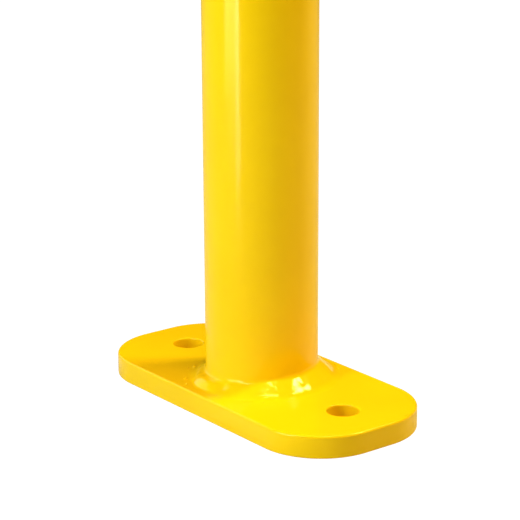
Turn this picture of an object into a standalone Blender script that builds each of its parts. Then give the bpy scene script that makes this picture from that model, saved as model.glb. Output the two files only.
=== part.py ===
"""A steel safety bollard: a round post welded to a flat base plate that is bolted to the floor.

Metres, +Z up. The origin is the centre of the plate's underside, and the plate's long side is along X.
"""

import math

import bmesh
import bpy

# Whole object
OVERALL_HEIGHT = 1.000

# Post: round tube
POST_DIAMETER = 0.050
POST_WALL = 0.003

# Base plate: flat bar with rounded corners and eased edges
PLATE_LENGTH = 0.160
PLATE_WIDTH = 0.075
PLATE_THICKNESS = 0.010
PLATE_CORNER_RADIUS = 0.030
PLATE_EDGE_ROUND = 0.0015

# Anchor holes for M12 bolts, one near each end of the plate
ANCHOR_HOLE_DIAMETER = 0.014
ANCHOR_END_DISTANCE = 0.024

# Vent and drain hole under the post
VENT_HOLE_DIAMETER = 0.012

# Every hole's rim is broken by this much
RIM_CHAMFER = 0.0008

# Fillet weld round the foot of the post
FOOT_WELD_PLATE_LEG = 0.008
FOOT_WELD_POST_LEG = 0.0065
FOOT_WELD_CROWN = 0.0006
FOOT_WELD_TOE = 0.0004

# Dished cap, butt-welded to the top of the post
CAP_WALL = 0.003
CAP_FLANGE_HEIGHT = 0.008
CAP_KNUCKLE_RADIUS = 0.008
CAP_CROWN_RADIUS = 0.050

# Seam weld between cap and post: it fills a V groove that leaves a land at the bottom
SEAM_LAND = 0.0008
SEAM_CROWN = 0.0004

# Left between two pieces that touch
FIT_GAP = 0.0003

# Facets: a full turn, a corner of the plate, each arc of the cap, and a weld's face
TURN_STEPS = 64
CORNER_STEPS = 8
DISH_STEPS = 5
WELD_STEPS = 4

# Worked out from the sizes above
POST_RADIUS = POST_DIAMETER / 2
POST_BOTTOM = PLATE_THICKNESS + FIT_GAP
ANCHOR_X = PLATE_LENGTH / 2 - ANCHOR_END_DISTANCE
CAP_KNUCKLE_X = POST_RADIUS - CAP_KNUCKLE_RADIUS
CAP_DISH_ANGLE = math.asin(CAP_KNUCKLE_X / (CAP_CROWN_RADIUS - CAP_KNUCKLE_RADIUS))
CAP_CENTRE_DROP = (CAP_CROWN_RADIUS - CAP_KNUCKLE_RADIUS) * math.cos(CAP_DISH_ANGLE)
CAP_SHOULDER = OVERALL_HEIGHT - (CAP_CROWN_RADIUS - CAP_CENTRE_DROP)
CAP_BOTTOM = CAP_SHOULDER - CAP_FLANGE_HEIGHT
POST_TOP = CAP_BOTTOM - FIT_GAP
SEAM_DEPTH = min(POST_WALL, CAP_WALL) - SEAM_LAND

YELLOW_COAT = (1.0, 0.66, 0.004, 1.0)


def clear_scene():
    for old in list(bpy.data.objects):
        bpy.data.objects.remove(old, do_unlink=True)


def new_collection(name):
    collection = bpy.data.collections.new(name)
    bpy.context.scene.collection.children.link(collection)
    return collection


def coat(name, roughness):
    """Powder coat over steel. Each sub-part has its own, because ground and welded faces differ in gloss."""
    material = bpy.data.materials.new(name)
    material.use_nodes = True
    shader = material.node_tree.nodes["Principled BSDF"]
    shader.inputs["Base Color"].default_value = YELLOW_COAT
    shader.inputs["Roughness"].default_value = roughness
    shader.inputs["Metallic"].default_value = 0.0
    material.diffuse_color = YELLOW_COAT
    return material


def arc(centre, radius, start, end, steps):
    """Points on a circle from one angle to another, in radians, with both ends."""
    points = []
    for i in range(steps + 1):
        angle = start + (end - start) * i / steps
        points.append((centre[0] + radius * math.cos(angle), centre[1] + radius * math.sin(angle)))
    return points


def as_mesh(guide, collection):
    """Replaces a guide, a curve or a profile with its modifiers, by a closed mesh of the same name."""
    name = guide.name
    evaluated = guide.evaluated_get(bpy.context.evaluated_depsgraph_get())
    mesh = bpy.data.meshes.new_from_object(evaluated)
    shape = bmesh.new()
    shape.from_mesh(mesh)
    bmesh.ops.remove_doubles(shape, verts=shape.verts, dist=0.000001)
    bmesh.ops.dissolve_limit(shape, angle_limit=math.radians(0.1), verts=shape.verts, edges=shape.edges)
    shape.to_mesh(mesh)
    shape.free()
    mesh.name = name
    mesh.shade_smooth()
    mesh.set_sharp_from_angle(angle=math.radians(30))
    placed = guide.matrix_world.copy()
    bpy.data.objects.remove(guide, do_unlink=True)
    piece = bpy.data.objects.new(name, mesh)
    piece.matrix_world = placed
    collection.objects.link(piece)
    return piece


def turned(name, profile, ring, collection):
    """Turns (radius, height) points round Z. They run down the outer side, and a ring's close."""
    mesh = bpy.data.meshes.new(name)
    edges = [(i, i + 1) for i in range(len(profile) - 1)]
    if ring:
        edges.append((len(profile) - 1, 0))
    mesh.from_pydata([(radius, 0.0, height) for radius, height in profile], edges, [])
    guide = bpy.data.objects.new(name, mesh)
    collection.objects.link(guide)
    screw = guide.modifiers.new("turn", "SCREW")
    screw.axis = "Z"
    screw.angle = math.tau
    screw.steps = TURN_STEPS
    screw.render_steps = TURN_STEPS
    screw.use_merge_vertices = True
    screw.merge_threshold = 0.00001
    bpy.context.view_layer.update()
    return as_mesh(guide, collection)


def plate_outline():
    """Rounded rectangle, anticlockwise: four corner arcs, which the straight sides join."""
    x = PLATE_LENGTH / 2 - PLATE_CORNER_RADIUS
    y = PLATE_WIDTH / 2 - PLATE_CORNER_RADIUS
    points = []
    for quarter, centre in enumerate(((x, y), (-x, y), (-x, -y), (x, -y))):
        start = quarter * math.pi / 2
        points += arc(centre, PLATE_CORNER_RADIUS, start, start + math.pi / 2, CORNER_STEPS)
    return points


def hole_cutter(name, x, diameter, collection):
    """A turned cutter through the plate, flared at both faces to break the hole's rims."""
    radius = diameter / 2
    overrun = RIM_CHAMFER * 2
    wide = radius + RIM_CHAMFER + overrun
    top = PLATE_THICKNESS
    profile = [
        (0.0, top + overrun),
        (wide, top + overrun),
        (radius, top - RIM_CHAMFER),
        (radius, RIM_CHAMFER),
        (wide, -overrun),
        (0.0, -overrun),
    ]
    cutter = turned(name, profile, False, collection)
    cutter.location.x = x
    cutter.hide_render = True
    cutter.display_type = "WIRE"
    return cutter


def base_plate(parts, cutters):
    curve = bpy.data.curves.new("base_plate", "CURVE")
    curve.dimensions = "2D"
    curve.fill_mode = "BOTH"
    curve.extrude = PLATE_THICKNESS / 2
    outline = plate_outline()
    spline = curve.splines.new("POLY")
    spline.points.add(len(outline) - 1)
    for point, (x, y) in zip(spline.points, outline):
        point.co = (x, y, 0.0, 1.0)
    spline.use_cyclic_u = True
    guide = bpy.data.objects.new("base_plate", curve)
    guide.location.z = PLATE_THICKNESS / 2
    parts.objects.link(guide)
    bpy.context.view_layer.update()
    plate = as_mesh(guide, parts)
    rounding = plate.modifiers.new("eased_edges", "BEVEL")
    rounding.width = PLATE_EDGE_ROUND
    rounding.segments = 3
    rounding.limit_method = "ANGLE"
    rounding.angle_limit = math.radians(60)
    holes = (
        ("anchor_hole_right", ANCHOR_X, ANCHOR_HOLE_DIAMETER),
        ("anchor_hole_left", -ANCHOR_X, ANCHOR_HOLE_DIAMETER),
        ("vent_hole", 0.0, VENT_HOLE_DIAMETER),
    )
    for name, x, diameter in holes:
        cut = plate.modifiers.new(name, "BOOLEAN")
        cut.operation = "DIFFERENCE"
        cut.solver = "EXACT"
        cut.object = hole_cutter("cutter_" + name, x, diameter, cutters)
    plate.data.materials.append(coat("plate_coat", 0.28))
    return plate


def post_tube(parts):
    """Round tube on the plate, its top edge bevelled for the seam weld."""
    bore = POST_RADIUS - POST_WALL
    profile = [
        (POST_RADIUS - SEAM_DEPTH, POST_TOP),
        (POST_RADIUS, POST_TOP - SEAM_DEPTH),
        (POST_RADIUS, POST_BOTTOM),
        (bore, POST_BOTTOM),
        (bore, POST_TOP),
    ]
    tube = turned("post_tube", profile, True, parts)
    tube.data.materials.append(coat("post_coat", 0.22))
    return tube


def foot_weld(parts):
    """Fillet in the corner between post and plate, slightly crowned, no wider than the plate's flat."""
    side_room = PLATE_WIDTH / 2 - PLATE_EDGE_ROUND - POST_RADIUS
    inner = POST_RADIUS + FIT_GAP
    outer = POST_RADIUS + min(FOOT_WELD_PLATE_LEG, side_room)
    bottom = PLATE_THICKNESS + FIT_GAP
    top = PLATE_THICKNESS + FOOT_WELD_POST_LEG
    upper = (inner + FOOT_WELD_TOE, top)
    lower = (outer, bottom + FOOT_WELD_TOE)
    run = lower[0] - upper[0]
    drop = upper[1] - lower[1]
    face = math.hypot(run, drop)
    profile = [(inner, top)]
    for i in range(WELD_STEPS + 1):
        share = i / WELD_STEPS
        bulge = FOOT_WELD_CROWN * math.sin(math.pi * share)
        radius = upper[0] + run * share + bulge * drop / face
        height = upper[1] - drop * share + bulge * run / face
        profile.append((radius, height))
    profile += [(outer, bottom), (inner, bottom)]
    weld = turned("foot_weld", profile, True, parts)
    weld.data.materials.append(coat("foot_weld_coat", 0.3))
    return weld


def dish(depth):
    """The cap's dished profile at this depth below its outer face, from the axis to the flange."""
    crown_centre = (0.0, CAP_SHOULDER - CAP_CENTRE_DROP)
    knuckle_centre = (CAP_KNUCKLE_X, CAP_SHOULDER)
    meet = math.pi / 2 - CAP_DISH_ANGLE
    crown = arc(crown_centre, CAP_CROWN_RADIUS - depth, math.pi / 2, meet, DISH_STEPS)
    knuckle = arc(knuckle_centre, CAP_KNUCKLE_RADIUS - depth, meet, 0.0, DISH_STEPS)
    return [(0.0, crown[0][1])] + crown[1:] + knuckle[1:]


def top_cap(parts):
    """Pressed cap of the post's own diameter: a shallow dome, a rounded knuckle and a straight flange."""
    outside = dish(0.0)
    inside = dish(CAP_WALL)
    rim = [
        (POST_RADIUS, CAP_BOTTOM + SEAM_DEPTH),
        (POST_RADIUS - SEAM_DEPTH, CAP_BOTTOM),
        (POST_RADIUS - CAP_WALL, CAP_BOTTOM),
    ]
    cap = turned("top_cap", outside + rim + inside[::-1], False, parts)
    cap.data.materials.append(coat("cap_coat", 0.22))
    return cap


def cap_weld(parts):
    """Ring in the V groove between cap and post, clear of both by the fit gap, slightly crowned outside."""
    middle = (POST_TOP + CAP_BOTTOM) / 2
    size = SEAM_DEPTH - FIT_GAP * (math.sqrt(2) - 0.5)
    profile = []
    for i in range(WELD_STEPS + 1):
        share = i / WELD_STEPS
        crown = SEAM_CROWN * math.sin(math.pi * share)
        profile.append((POST_RADIUS + crown, middle + size * (1 - 2 * share)))
    profile.append((POST_RADIUS - size, middle))
    weld = turned("cap_weld", profile, True, parts)
    weld.data.materials.append(coat("cap_weld_coat", 0.3))
    return weld


def main():
    clear_scene()
    parts = new_collection("safety_bollard")
    cutters = new_collection("cutters")
    base_plate(parts, cutters)
    post_tube(parts)
    foot_weld(parts)
    top_cap(parts)
    cap_weld(parts)


main()
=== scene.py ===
"""Looks of the steel safety bollard: the painted plate, post, cap and welds, and a small studio round them.

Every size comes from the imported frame. Metres, +Z up, the plate's long side along X.
"""

import math

import bmesh
import bpy
import numpy as np
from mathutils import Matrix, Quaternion, Vector, geometry, noise


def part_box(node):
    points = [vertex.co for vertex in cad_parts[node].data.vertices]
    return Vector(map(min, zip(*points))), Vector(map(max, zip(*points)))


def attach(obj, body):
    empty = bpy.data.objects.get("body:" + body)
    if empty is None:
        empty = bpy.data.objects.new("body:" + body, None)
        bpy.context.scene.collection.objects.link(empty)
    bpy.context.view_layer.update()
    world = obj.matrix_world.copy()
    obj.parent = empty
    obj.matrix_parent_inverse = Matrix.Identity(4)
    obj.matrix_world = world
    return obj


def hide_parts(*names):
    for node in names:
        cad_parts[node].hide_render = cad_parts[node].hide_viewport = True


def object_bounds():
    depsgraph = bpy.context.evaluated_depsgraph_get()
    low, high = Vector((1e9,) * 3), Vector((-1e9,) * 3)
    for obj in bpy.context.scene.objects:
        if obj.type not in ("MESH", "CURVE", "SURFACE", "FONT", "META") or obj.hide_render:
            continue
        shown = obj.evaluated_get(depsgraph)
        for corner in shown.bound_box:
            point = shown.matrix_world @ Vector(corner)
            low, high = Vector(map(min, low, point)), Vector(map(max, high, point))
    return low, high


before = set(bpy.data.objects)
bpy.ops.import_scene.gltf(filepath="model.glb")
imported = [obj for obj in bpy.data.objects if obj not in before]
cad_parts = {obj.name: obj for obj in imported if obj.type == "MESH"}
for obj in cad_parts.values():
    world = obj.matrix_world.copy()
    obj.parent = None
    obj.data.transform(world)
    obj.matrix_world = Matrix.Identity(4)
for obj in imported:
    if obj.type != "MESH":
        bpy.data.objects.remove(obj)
cad_low, cad_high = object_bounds()

# ------------------------------------------------------------------ sizes, read from the frame
plate_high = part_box("base_plate")[1]
post_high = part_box("post_tube")[1]
weld_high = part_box("foot_weld")[1]
cap_low, cap_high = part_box("top_cap")
seam_low, seam_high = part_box("cap_weld")

PLATE_TOP = plate_high.z
HALF_LENGTH = plate_high.x
HALF_WIDTH = plate_high.y
POST_RADIUS = post_high.x
WELD_RADIUS = weld_high.x
WELD_HEIGHT = weld_high.z - PLATE_TOP
SEAM_MIDDLE = (seam_low.z + seam_high.z) / 2

# Sizes that a bounding box doesn't give
PLATE_CORNER = 0.030
PLATE_ROUND = 0.0012
PLATE_FOOT_ROUND = 0.0005
RIM_ROUND = 0.0007
ANCHOR_X = 0.056
ANCHOR_RADIUS = 0.0069
VENT_RADIUS = 0.006
WALL = 0.003
CAP_KNUCKLE = 0.008
CAP_CROWN = 0.050

# Where the foot weld's run ends over its own start, in degrees round the post from the plate's right end
WELD_LAP = -100.0
# How much lower its edge on the post is on one side of the lap, and higher on the other
WELD_LEAN = 0.0020
# Solidification ripples round the whole run
RIPPLES = 34
# Hollows in its face: angle, radius and height on the face, size, depth
WELD_DIMPLES = (
    (0.0, 0.0301, 0.0022, 0.0020, 0.00026),
    (-30.0, 0.0312, 0.0012, 0.0020, 0.00016),
    (-50.0, 0.0296, 0.0026, 0.0026, 0.00012),
    (40.0, 0.0288, 0.0036, 0.0030, 0.00012),
)
# Low ridges down its face: the angle at the top and at the foot, height
WELD_RIDGES = ((-36.0, -17.0, 0.00010), (-1.0, -18.0, 0.00014), (0.0, 8.0, 0.00012))

# Drops of weld metal on the plate: angle, distance from the post's axis, size
SPATTER = (
    (-121.0, 0.0344, 0.0007),
    (-148.0, 0.0326, 0.0008),
    (-109.0, 0.0352, 0.0005),
    (-143.0, 0.0345, 0.0004),
    (64.0, 0.0348, 0.0005),
)

# How far a skin sinks into its neighbour, so that no gap shows between them
SINK = 0.00004


def smooth_step(x):
    x = np.clip(x, 0.0, 1.0)
    return x * x * (3 - 2 * x)


# ------------------------------------------------------------------ materials
def node(tree, kind, x, y, **inputs):
    made = tree.nodes.new(kind)
    made.location = (x, y)
    for name, value in inputs.items():
        made.inputs[name.replace("_", " ")].default_value = value
    return made


def noise_node(tree, coordinates, scale, detail, x, y):
    made = node(tree, "ShaderNodeTexNoise", x, y, Scale=scale, Detail=detail)
    tree.links.new(coordinates, made.inputs["Vector"])
    return made


def ramp(tree, value, low, high, x, y):
    """Maps a 0 to 1 pattern to a range."""
    made = tree.nodes.new("ShaderNodeMapRange")
    made.location = (x, y)
    made.inputs["To Min"].default_value = low
    made.inputs["To Max"].default_value = high
    made.inputs["From Min"].default_value = 0.3
    made.inputs["From Max"].default_value = 0.7
    tree.links.new(value, made.inputs["Value"])
    return made.outputs["Result"]


def powder_coat(name, gloss, peel):
    """Glossy powder coat: orange peel, a long wave, and slight changes of shade and gloss."""
    material = bpy.data.materials.new(name)
    material.use_nodes = True
    tree = material.node_tree
    shader = tree.nodes["Principled BSDF"]
    shader.inputs["IOR"].default_value = 1.5
    shader.inputs["Specular IOR Level"].default_value = 0.45
    shader.inputs["Specular Tint"].default_value = (1.0, 0.86, 0.25, 1.0)
    place = node(tree, "ShaderNodeTexCoord", -1400, 0).outputs["Object"]

    shade = noise_node(tree, place, 22.0, 3.0, -1100, 300)
    mix = tree.nodes.new("ShaderNodeMix")
    mix.data_type = "RGBA"
    mix.location = (-700, 300)
    mix.inputs["A"].default_value = (0.93, 0.575, 0.0015, 1.0)
    mix.inputs["B"].default_value = (0.97, 0.615, 0.0025, 1.0)
    tree.links.new(ramp(tree, shade.outputs["Fac"], 0.0, 1.0, -900, 300), mix.inputs["Factor"])
    tree.links.new(mix.outputs["Result"], shader.inputs["Base Color"])

    sheen = noise_node(tree, place, 60.0, 4.0, -1100, 0)
    rough = ramp(tree, sheen.outputs["Fac"], gloss * 0.8, gloss * 1.3, -900, 0)
    tree.links.new(rough, shader.inputs["Roughness"])

    fine = noise_node(tree, place, 520.0, 2.0, -1100, -300)
    long = noise_node(tree, place, 55.0, 2.0, -1100, -600)
    bump = node(tree, "ShaderNodeBump", -500, -300, Strength=peel, Distance=0.00002)
    tree.links.new(fine.outputs["Fac"], bump.inputs["Height"])
    wave = node(tree, "ShaderNodeBump", -700, -600, Strength=peel, Distance=0.00012)
    tree.links.new(long.outputs["Fac"], wave.inputs["Height"])
    tree.links.new(wave.outputs["Normal"], bump.inputs["Normal"])
    tree.links.new(bump.outputs["Normal"], shader.inputs["Normal"])
    return material


# ------------------------------------------------------------------ meshes
def piece(name, points, faces, normals, material, replaces=None):
    """A smooth mesh with exact normals that rides on the bollard's one body."""
    mesh = bpy.data.meshes.new(name)
    mesh.from_pydata([tuple(p) for p in points], [], [tuple(f) for f in faces])
    mesh.validate()
    mesh.shade_smooth()
    if normals is not None:
        mesh.normals_split_custom_set_from_vertices([tuple(n) for n in normals])
    mesh.materials.append(material)
    made = bpy.data.objects.new(name, mesh)
    bpy.context.scene.collection.objects.link(made)
    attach(made, "root")
    if replaces:
        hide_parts(replaces)
    return made


def grid_faces(rows, columns, wrap_rows=False, wrap_columns=False):
    """Quads over a grid of points stored row by row."""
    faces = []
    for i in range(rows if wrap_rows else rows - 1):
        for j in range(columns if wrap_columns else columns - 1):
            a = i * columns + j
            b = i * columns + (j + 1) % columns
            c = ((i + 1) % rows) * columns + (j + 1) % columns
            d = ((i + 1) % rows) * columns + j
            faces.append((a, b, c, d))
    return faces


def arc(centre, radius, start, end, steps):
    angles = np.linspace(start, end, steps + 1)
    return np.stack([centre[0] + radius * np.cos(angles), centre[1] + radius * np.sin(angles)], axis=1)


def turned(name, profile, material, replaces, ring, steps=192):
    """Turns (radius, height) points round Z, down the outer side. Corners over 35 degrees stay sharp."""
    profile = np.asarray(profile, float)
    count = len(profile)
    angles = np.linspace(0.0, math.tau, steps, endpoint=False)
    points = np.zeros((count, steps, 3))
    points[..., 0] = profile[:, :1] * np.cos(angles)
    points[..., 1] = profile[:, :1] * np.sin(angles)
    points[..., 2] = profile[:, 1:]
    faces = [face[::-1] for face in grid_faces(count, steps, ring, True)]
    shape = bmesh.new()
    vertices = [shape.verts.new(p) for p in points.reshape(-1, 3)]
    for face in faces:
        shape.faces.new([vertices[i] for i in face])
    bmesh.ops.remove_doubles(shape, verts=shape.verts, dist=1e-7)
    mesh = bpy.data.meshes.new(name)
    shape.to_mesh(mesh)
    shape.free()
    mesh.shade_smooth()
    mesh.set_sharp_from_angle(angle=math.radians(35))
    mesh.materials.append(material)
    made = bpy.data.objects.new(name, mesh)
    bpy.context.scene.collection.objects.link(made)
    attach(made, "root")
    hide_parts(replaces)
    return made


def rounded_edge_rings(outline, outward, top_size, foot_size, steps):
    """Rings down an upright wall with rounded edges: (points, normals), top to bottom."""
    rings, normals = [], []
    for top in (True, False):
        size = top_size if top else foot_size
        for k in range(steps + 1):
            turn = math.pi / 2 * k / steps
            if not top:
                turn = math.pi / 2 - turn
            reach = top_size - size + size * math.sin(turn)
            rise = size * (1 - math.cos(turn))
            height = PLATE_TOP - rise if top else rise
            ring = np.zeros((len(outline), 3))
            ring[:, :2] = outline + outward * reach
            ring[:, 2] = height
            normal = np.zeros_like(ring)
            normal[:, :2] = outward * math.sin(turn)
            normal[:, 2] = math.cos(turn) * (1 if top else -1)
            rings.append(ring)
            normals.append(normal)
    return rings, normals


def circle(centre_x, radius, steps):
    angles = np.linspace(0.0, math.tau, steps, endpoint=False)
    direction = np.stack([np.cos(angles), np.sin(angles)], axis=1)
    return direction * radius + np.array([centre_x, 0.0]), direction


def plate_outline(inset, corner_steps):
    """(points, outward directions) of the plate's outline, moved in by inset."""
    x, y = HALF_LENGTH - PLATE_CORNER, HALF_WIDTH - PLATE_CORNER
    points, outward = [], []
    for quarter, (cx, cy) in enumerate(((x, y), (-x, y), (-x, -y), (x, -y))):
        start = quarter * math.pi / 2
        for angle in np.linspace(start, start + math.pi / 2, corner_steps + 1):
            direction = np.array([math.cos(angle), math.sin(angle)])
            points.append(np.array([cx, cy]) + direction * (PLATE_CORNER - inset))
            outward.append(direction)
    return np.array(points), np.array(outward)


def coated_plate(material):
    loops = []
    outline, outward = plate_outline(PLATE_ROUND, 32)
    loops.append((outline, outward, PLATE_ROUND, PLATE_FOOT_ROUND))
    for x, radius in ((ANCHOR_X, ANCHOR_RADIUS), (-ANCHOR_X, ANCHOR_RADIUS), (0.0, VENT_RADIUS)):
        rim, direction = circle(x, radius + RIM_ROUND, 96)
        loops.append((rim, -direction, RIM_ROUND, RIM_ROUND / 2))
    points, normals, faces = [], [], []
    tops, bottoms = [], []
    for index, (line, direction, top_size, foot_size) in enumerate(loops):
        rings, ring_normals = rounded_edge_rings(line, direction, top_size, foot_size, 8)
        first = len(points)
        for ring, normal in zip(rings, ring_normals):
            points += list(ring)
            normals += list(normal)
        strip = grid_faces(len(rings), len(line), False, True)
        flip = index == 0
        for face in strip:
            moved = [first + i for i in face]
            faces.append(moved[::-1] if flip else moved)
        tops.append(list(range(first, first + len(line))))
        last = first + (len(rings) - 1) * len(line)
        bottoms.append(list(range(last, last + len(line))))
    for loop_indices, top in ((tops, True), (bottoms, False)):
        flat = [[Vector((points[i][0], points[i][1], 0.0)) for i in loop] for loop in loop_indices]
        order = [i for loop in loop_indices for i in loop]
        for a, b, c in geometry.tessellate_polygon(flat):
            pa, pb, pc = (points[order[i]] for i in (a, b, c))
            up = (pb[0] - pa[0]) * (pc[1] - pa[1]) - (pb[1] - pa[1]) * (pc[0] - pa[0]) > 0
            face = (order[a], order[b], order[c])
            faces.append(face if up == top else face[::-1])
    return piece("coated_plate", points, faces, normals, material, "base_plate")


def coated_post(material):
    bore = POST_RADIUS - WALL
    heights = np.linspace(cap_low.z, PLATE_TOP - SINK, 40)
    outside = [(POST_RADIUS, z) for z in heights]
    profile = outside + [(bore, PLATE_TOP - SINK), (bore, cap_low.z)]
    return turned("coated_post", profile, material, "post_tube", True, 256)


def dish(depth, steps=20):
    """The cap's dished profile at this depth below its outer face, from the axis to the flange."""
    reach = POST_RADIUS - CAP_KNUCKLE
    meet = math.acos(reach / (CAP_CROWN - CAP_KNUCKLE))
    drop = math.sqrt((CAP_CROWN - CAP_KNUCKLE) ** 2 - reach**2)
    shoulder = cap_high.z - (CAP_CROWN - drop)
    crown = arc((0.0, shoulder - drop), CAP_CROWN - depth, math.pi / 2, meet, steps)
    knuckle = arc((reach, shoulder), CAP_KNUCKLE - depth, meet, 0.0, steps)
    crown[0, 0] = 0.0
    return np.concatenate([crown, knuckle[1:]])


def coated_cap(material):
    inner = dish(WALL)[::-1]
    rim = [(POST_RADIUS, cap_low.z - SINK), (POST_RADIUS - WALL, cap_low.z - SINK)]
    profile = np.concatenate([dish(0.0), rim, inner])
    return turned("coated_cap", profile, material, "top_cap", False)


# ------------------------------------------------------------------ welds
def wander(angles, seed, pitch, radius, octaves=2):
    """Smooth closed variation round a circle, about -1 to 1, that changes over this distance in metres."""
    values = []
    reach = radius / pitch
    for angle in angles:
        at = Vector((math.cos(angle) * reach, math.sin(angle) * reach, seed * 7.3))
        values.append(noise.fractal(at, 1.0, 2.0, octaves))
    return np.array(values) * 1.6


def field(points, seed, pitch, octaves=2):
    """Smooth variation through space, about -1 to 1, that changes over this distance in metres."""
    shift = Vector((0, 0, seed * 5.1))
    values = [noise.fractal(Vector(p) / pitch + shift, 1.0, 2.0, octaves) for p in points]
    return np.array(values) * 1.6


def hump(angles, middle, width):
    """A smooth rise to 1 at this angle round the post. The angle and the width are in degrees."""
    away = (np.degrees(angles) - middle + 180.0) % 360.0 - 180.0
    return np.exp(-((away / width) ** 2))


def dimple(points, angle, radius, height, size):
    """1 at this place on the weld's face, fading out over this size."""
    turn = math.radians(angle)
    middle = np.array([radius * math.cos(turn), radius * math.sin(turn), PLATE_TOP + height])
    return np.exp(-((points - middle) ** 2).sum(axis=1) / size**2)


def coated_foot_weld(material):
    """The fillet round the post's foot: one hand-laid run under paint, whose end laps its start."""
    turns, across = 720, 56
    angles = np.linspace(0.0, math.tau, turns, endpoint=False)
    lap = hump(angles, WELD_LAP, 20.0)
    crater = hump(angles, WELD_LAP + 24.0, 6.0)
    lean = WELD_LEAN * np.sin(angles - math.radians(WELD_LAP + 60.0))
    toe_up = WELD_HEIGHT * 0.87 + lean + 0.00025 * wander(angles, 1, 0.012, POST_RADIUS)
    toe_out = 0.0070 + 0.6 * lean + 0.00015 * wander(angles, 2, 0.016, WELD_RADIUS) + 0.0014 * lap
    crown = 0.0001 * wander(angles, 3, 0.016, POST_RADIUS) + 0.0012 * lap - 0.0009 * crater
    foot_blend = 0.0026 - 0.0016 * np.clip(1.3 * lap, 0.0, 1.0)
    post_blend = 0.0013 + 0.0003 * wander(angles, 6, 0.014, POST_RADIUS)
    share = np.linspace(0.0, 1.0, across)
    profiles = [
        bead_profile(up, out, *rest, share)
        for up, out, *rest in zip(toe_up, toe_out, crown, post_blend, foot_blend)
    ]
    line = np.array(profiles)
    points = np.empty((turns, across, 3))
    points[..., 0] = line[..., 0] * np.cos(angles)[:, None]
    points[..., 1] = line[..., 0] * np.sin(angles)[:, None]
    points[..., 2] = line[..., 1]
    flat = points.reshape(-1, 3)
    turn = np.repeat(angles, across)
    outward = np.stack([np.cos(turn), np.sin(turn), np.full(len(turn), 1.1)], axis=1)
    outward /= np.linalg.norm(outward, axis=1, keepdims=True)
    window = np.tile(np.sin(np.pi * smooth_step(share)) ** 1.5, turns)
    lumps = 0.00005 * field(flat, 4, 0.0075) + 0.00002 * field(flat, 5, 0.0030)
    slant = np.tile(share, turns)
    uneven = np.repeat(wander(angles, 7, 0.015, POST_RADIUS), across)
    strength = 1.0 + np.repeat(wander(angles, 10, 0.010, POST_RADIUS), across)
    lumps += 0.00003 * np.sin(RIPPLES * turn + 3.5 * slant + 1.2 * uneven) * strength
    for top, foot, height in WELD_RIDGES:
        away = np.degrees(turn) - top - (foot - top) * slant
        away = (away + 180.0) % 360.0 - 180.0
        lumps += height * np.exp(-((away / 4.0) ** 2))
    for angle, radius, height, size, depth in WELD_DIMPLES:
        lumps -= depth * dimple(flat, angle, radius, height, size)
    flat = flat + outward * (lumps * window)[:, None]
    faces = grid_faces(turns, across, True, False)
    return piece("coated_foot_weld", flat, faces, None, material, "foot_weld")


def bead_profile(toe_up, toe_out, crown, post_blend, foot_blend, share):
    """(radius, height) down one section of the fillet, flowing out of the post and into the plate."""
    upper = np.array([POST_RADIUS, PLATE_TOP + toe_up])
    lower = np.array([POST_RADIUS + toe_out, PLATE_TOP])
    along = (lower - upper) / np.linalg.norm(lower - upper)
    outward = np.array([-along[1], along[0]])
    rise, run = np.array([0.0, 1.0]), np.array([1.0, 0.0])
    top_bend = (upper + rise * post_blend, upper, upper + along * post_blend)
    foot_bend = (lower - along * foot_blend, lower, lower + run * foot_blend)
    bend = 0.28
    result = np.empty((len(share), 2))
    for i, s in enumerate(share):
        if s < bend or s > 1 - bend:
            a, b, c = top_bend if s < bend else foot_bend
            t = s / bend if s < bend else (s - 1 + bend) / bend
            result[i] = (1 - t) ** 2 * a + 2 * t * (1 - t) * b + t**2 * c
        else:
            t = (s - bend) / (1 - 2 * bend)
            result[i] = top_bend[2] * (1 - t) + foot_bend[0] * t
        swell = smooth_step(np.clip((s - 0.05) / 0.90, 0.0, 1.0))
        result[i] += outward * crown * math.sin(math.pi * swell) ** 2
    result[0, 0] -= SINK
    result[-1, 1] -= SINK
    return result


def coated_cap_weld(material):
    """The seam round the cap: laid, then ground nearly flush, so only a soft low band is left."""
    turns, across = 360, 16
    angles = np.linspace(0.0, math.tau, turns, endpoint=False)
    half = (seam_high.z - seam_low.z) / 2
    share = np.linspace(-1.0, 1.0, across)
    uneven = np.clip(wander(angles, 8, 0.006, POST_RADIUS), -1, 1)
    crown = (seam_high.x - POST_RADIUS) * (0.75 + 0.25 * uneven)
    drift = 0.0003 * wander(angles, 9, 0.008, POST_RADIUS)
    points = np.zeros((turns, across, 3))
    bulge = (1 - share**2) ** 1.5
    radius = POST_RADIUS - SINK + crown[:, None] * bulge[None, :]
    points[..., 0] = radius * np.cos(angles)[:, None]
    points[..., 1] = radius * np.sin(angles)[:, None]
    points[..., 2] = SEAM_MIDDLE - half * share[None, :] + drift[:, None]
    faces = grid_faces(turns, across, True, False)
    return piece("coated_cap_weld", points.reshape(-1, 3), faces, None, material, "cap_weld")


def weld_spatter(material):
    """Small drops of weld metal that stuck to the plate and were painted over."""
    shape = bmesh.new()
    for angle, radius, size in SPATTER:
        turn = math.radians(angle)
        drop = bmesh.ops.create_icosphere(shape, subdivisions=3, radius=1.0)
        for vertex in drop["verts"]:
            wobble = 1.0 + 0.12 * noise.noise(vertex.co * 1.3 + Vector((angle, 0.0, 0.0)))
            place = vertex.co * wobble * size
            place.z = place.z * 0.62 + PLATE_TOP + size * 0.10
            vertex.co = place + Vector((radius * math.cos(turn), radius * math.sin(turn), 0.0))
    mesh = bpy.data.meshes.new("weld_spatter")
    shape.to_mesh(mesh)
    shape.free()
    mesh.shade_smooth()
    mesh.materials.append(material)
    made = bpy.data.objects.new("weld_spatter", mesh)
    bpy.context.scene.collection.objects.link(made)
    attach(made, "root")
    return made


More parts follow.
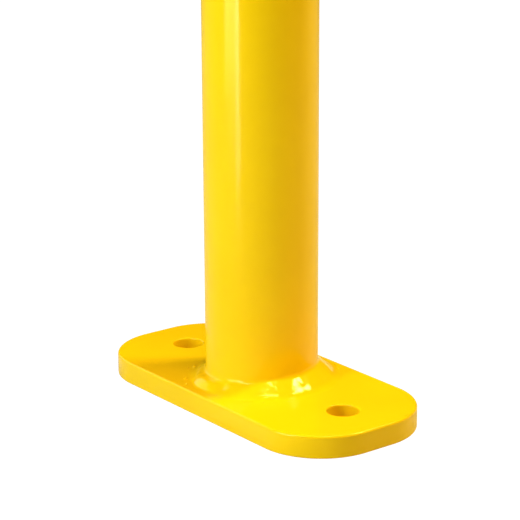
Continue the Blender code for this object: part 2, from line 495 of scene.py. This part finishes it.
plate_paint = powder_coat("plate_paint", gloss=0.17, peel=0.5)
post_paint = powder_coat("post_paint", gloss=0.16, peel=0.4)
weld_paint = powder_coat("weld_paint", gloss=0.12, peel=0.3)

coated_plate(plate_paint)
coated_post(post_paint)
coated_cap(post_paint)
coated_foot_weld(weld_paint)
coated_cap_weld(weld_paint)
weld_spatter(weld_paint)


# ------------------------------------------------------------------ studio
CAMERA_AZIMUTH = math.radians(52.206)
CAMERA_DISTANCE = 0.8183
CAMERA_HEIGHT = 0.3083
CAMERA_PITCH = math.radians(16.657)
CAMERA_ROLL = math.radians(-0.262)
CAMERA_LENS = 134.89
CAMERA_SHIFT = -0.0026

towards = Vector((math.sin(CAMERA_AZIMUTH), -math.cos(CAMERA_AZIMUTH), 0.0))
rightwards = Vector((math.cos(CAMERA_AZIMUTH), math.sin(CAMERA_AZIMUTH), 0.0))
up = Vector((0.0, 0.0, 1.0))


def around(bearing, distance, height):
    """A place round the post: degrees to the right of the camera, distance from the axis, height."""
    turn = math.radians(bearing)
    return (towards * math.cos(turn) + rightwards * math.sin(turn)) * distance + up * height


def make_camera():
    data = bpy.data.cameras.new("camera")
    data.lens = CAMERA_LENS
    data.sensor_width = 36.0
    data.shift_x = CAMERA_SHIFT
    data.clip_start = 0.01
    data.clip_end = 50.0
    camera = bpy.data.objects.new("camera", data)
    bpy.context.scene.collection.objects.link(camera)
    camera.location = around(0.0, CAMERA_DISTANCE, CAMERA_HEIGHT)
    gaze = -towards * math.cos(CAMERA_PITCH) - up * math.sin(CAMERA_PITCH)
    level = gaze.to_track_quat("-Z", "Y")
    camera.rotation_euler = (level @ Quaternion((0.0, 0.0, 1.0), CAMERA_ROLL)).to_euler()
    bpy.context.scene.camera = camera


def softbox(name, place, target, width, height, power, colour):
    data = bpy.data.lights.new(name, "AREA")
    data.shape = "RECTANGLE"
    data.size = width
    data.size_y = height
    data.energy = power
    data.color = colour
    light = bpy.data.objects.new(name, data)
    bpy.context.scene.collection.objects.link(light)
    light.location = place
    light.rotation_euler = (Vector(target) - Vector(place)).to_track_quat("-Z", "Y").to_euler()
    return light


def make_world():
    world = bpy.data.worlds.new("studio")
    world.use_nodes = True
    tree = world.node_tree
    background = tree.nodes["Background"]
    background.inputs["Color"].default_value = (1.0, 1.0, 1.0, 1.0)
    background.inputs["Strength"].default_value = 0.01
    seen = tree.nodes.new("ShaderNodeBackground")
    seen.inputs["Color"].default_value = (1.0, 1.0, 1.0, 1.0)
    seen.inputs["Strength"].default_value = 1.0
    path = tree.nodes.new("ShaderNodeLightPath")
    mix = tree.nodes.new("ShaderNodeMixShader")
    tree.links.new(path.outputs["Is Camera Ray"], mix.inputs["Fac"])
    tree.links.new(background.outputs["Background"], mix.inputs[1])
    tree.links.new(seen.outputs["Background"], mix.inputs[2])
    tree.links.new(mix.outputs["Shader"], tree.nodes["World Output"].inputs["Surface"])
    bpy.context.scene.world = world


def make_floor():
    """A floor as white as the backdrop to the camera, and a grey reflector to everything else."""
    shape = bmesh.new()
    bmesh.ops.create_grid(shape, x_segments=8, y_segments=8, size=12.0)
    mesh = bpy.data.meshes.new("floor")
    shape.to_mesh(mesh)
    shape.free()
    floor = bpy.data.objects.new("floor", mesh)
    bpy.context.scene.collection.objects.link(floor)
    floor.location.z = cad_low.z - 0.0002
    material = bpy.data.materials.new("pale_floor")
    material.use_nodes = True
    tree = material.node_tree
    bounce = tree.nodes["Principled BSDF"]
    bounce.inputs["Base Color"].default_value = (0.5, 0.5, 0.5, 1.0)
    bounce.inputs["Roughness"].default_value = 0.9
    bounce.inputs["Specular IOR Level"].default_value = 0.0
    shown = node(tree, "ShaderNodeBsdfDiffuse", -300, 500, Color=(0.12, 0.12, 0.12, 1.0))
    glow = node(tree, "ShaderNodeEmission", -300, 300, Strength=1.0)
    both = tree.nodes.new("ShaderNodeAddShader")
    tree.links.new(shown.outputs["BSDF"], both.inputs[0])
    tree.links.new(glow.outputs["Emission"], both.inputs[1])
    path = tree.nodes.new("ShaderNodeLightPath")
    mix = tree.nodes.new("ShaderNodeMixShader")
    tree.links.new(path.outputs["Is Camera Ray"], mix.inputs["Fac"])
    tree.links.new(bounce.outputs["BSDF"], mix.inputs[1])
    tree.links.new(both.outputs["Shader"], mix.inputs[2])
    tree.links.new(mix.outputs["Shader"], tree.nodes["Material Output"].inputs["Surface"])
    mesh.materials.append(material)


make_camera()
make_world()
make_floor()
# What the lights set above and behind are aimed at
CENTRE = (0.0, 0.0, 0.10)
softbox("key_left", around(-85, 1.1, 0.28), (0, 0, 0.28), 1.1, 0.56, 0.35, (0.99, 0.99, 1.0))
softbox("rim_left", around(-125, 1.0, 0.50), CENTRE, 0.9, 0.8, 3.0, (1.0, 0.8, 0.83))
softbox("wing_left", around(-57, 0.8, 0.30), (0, 0, 0.30), 0.42, 0.6, 4.6, (0.76, 0.95, 1.0))
softbox("strip_left", around(-44.2, 0.40, 0.30), (0, 0, 0.30), 0.05, 0.58, 0.93, (0.42, 0.47, 1.0))
softbox("strip_high", around(-44.2, 0.40, 0.35), (0, 0, 0.35), 0.05, 0.44, 0.6, (0.4, 0.44, 1.0))
softbox("front_high", around(-45, 0.8, 0.95), CENTRE, 0.3, 0.3, 1.8, (1.0, 1.0, 0.8))
softbox("overhead", around(20, 0.28, 1.6), CENTRE, 0.3, 0.3, 12.4, (1.0, 0.66, 0.3))
softbox("fill_right", around(98, 0.75, 1.08), CENTRE, 0.22, 0.22, 14.0, (1.0, 0.89, 0.37))
# Warms the right edge of the post, but would leave stray streaks in the weld if it were reflected
side = softbox("side_right", around(120, 1.2, 0.35), (0, 0, 0.2), 0.7, 0.7, 2.0, (1.0, 0.97, 0.6))
side.visible_glossy = False
softbox("back_fill", around(180, 0.9, 1.9), (0, 0, 0.5), 0.9, 0.9, 2.0, (1.0, 0.97, 0.94))

bpy.context.scene.view_settings.view_transform = "Standard"
bpy.context.scene.view_settings.look = "None"
